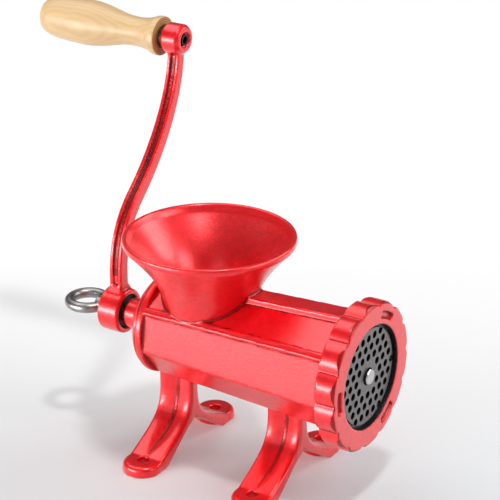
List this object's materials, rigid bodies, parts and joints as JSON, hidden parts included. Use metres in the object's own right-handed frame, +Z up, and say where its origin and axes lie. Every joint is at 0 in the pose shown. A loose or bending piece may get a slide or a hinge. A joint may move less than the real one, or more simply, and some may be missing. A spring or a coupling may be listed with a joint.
{
  "type": "hand crank meat grinder",
  "caption": "Table-mounted hand crank meat grinder: faceted barrel with a round hopper, bolted feet, screw-on ring nut, perforated plate and an S-shaped crank with a wooden grip",
  "frame": {"origin": "On the table top, midway between the four foot holes", "axes": "+X runs along the barrel from the crank to the cutting plate, +Z is up, +Y is to the left of someone looking along +X"},
  "size_m": [0.2765, 0.1346, 0.2513],
  "materials": {
    "enamel": "smooth satin-gloss red enamel over a casting",
    "bare_casting": "bare fine-grained casting, tumbled",
    "bush_metal": "turned bearing bronze",
    "bright_steel": "turned and ground bright steel",
    "plate_steel": "ground dark steel with a fine grain",
    "dark_steel": "blackened steel",
    "screw_steel": "forged steel, dull plated",
    "washer_plastic": "moulded thrust washer",
    "wood": "turned pale hardwood, thin clear lacquer"
  },
  "bodies": {
    "housing": {"barrel": "enamel", "hopper": "enamel", "front_left_leg": "enamel", "front_right_leg": "enamel", "rear_left_leg": "enamel", "rear_right_leg": "enamel", "neck_bush": "bush_metal", "plate_key": "bright_steel"},
    "plate": {"cutting_plate": "plate_steel"},
    "ring": {"ring_nut": "enamel"},
    "drive": {"auger": "bare_casting", "drive_shaft": "bright_steel", "thrust_washer": "washer_plastic", "centre_stud": "bright_steel", "knife": "bright_steel", "crank_arm": "enamel", "grip_spindle": "dark_steel", "grip_washer": "dark_steel", "grip_end_washer": "dark_steel"},
    "grip": {"wooden_grip": "wood"},
    "clamp_washer": {"thumb_washer": "bright_steel"},
    "clamp_screw": {"thumb_screw": "screw_steel"}
  },
  "joints": [
    {"name": "crank_spin", "type": "hinge", "parent": "housing", "child": "drive", "pos_m": [0, 0, 0.081], "axis": [1, 0, 0], "continuous": true},
    {"name": "grip_spin", "type": "hinge", "parent": "drive", "child": "grip", "pos_m": [-0.13, 0.06779, 0.2369], "axis": [1, 0, 0], "continuous": true},
    {"name": "plate_travel", "type": "slide", "parent": "housing", "child": "plate", "axis": [1, 0, 0], "range_m": [0, 0.0121]},
    {"name": "ring_turn", "type": "hinge", "parent": "plate", "child": "ring", "pos_m": [0.09, 0, 0.081], "axis": [1, 0, 0], "range_deg": [0, 1440]},
    {"name": "washer_travel", "type": "slide", "parent": "drive", "child": "clamp_washer", "axis": [-1, 0, 0], "range_m": [0, 0.0101]},
    {"name": "screw_turn", "type": "hinge", "parent": "clamp_washer", "child": "clamp_screw", "pos_m": [-0.1, 0, 0.081], "axis": [-1, 0, 0], "range_deg": [0, 3600]}
  ],
  "couplings": [
    {"joint": "plate_travel", "follows": "ring_turn", "m_per_rad": 0.00047746},
    {"joint": "washer_travel", "follows": "screw_turn", "m_per_rad": 0.00015915}
  ]
}
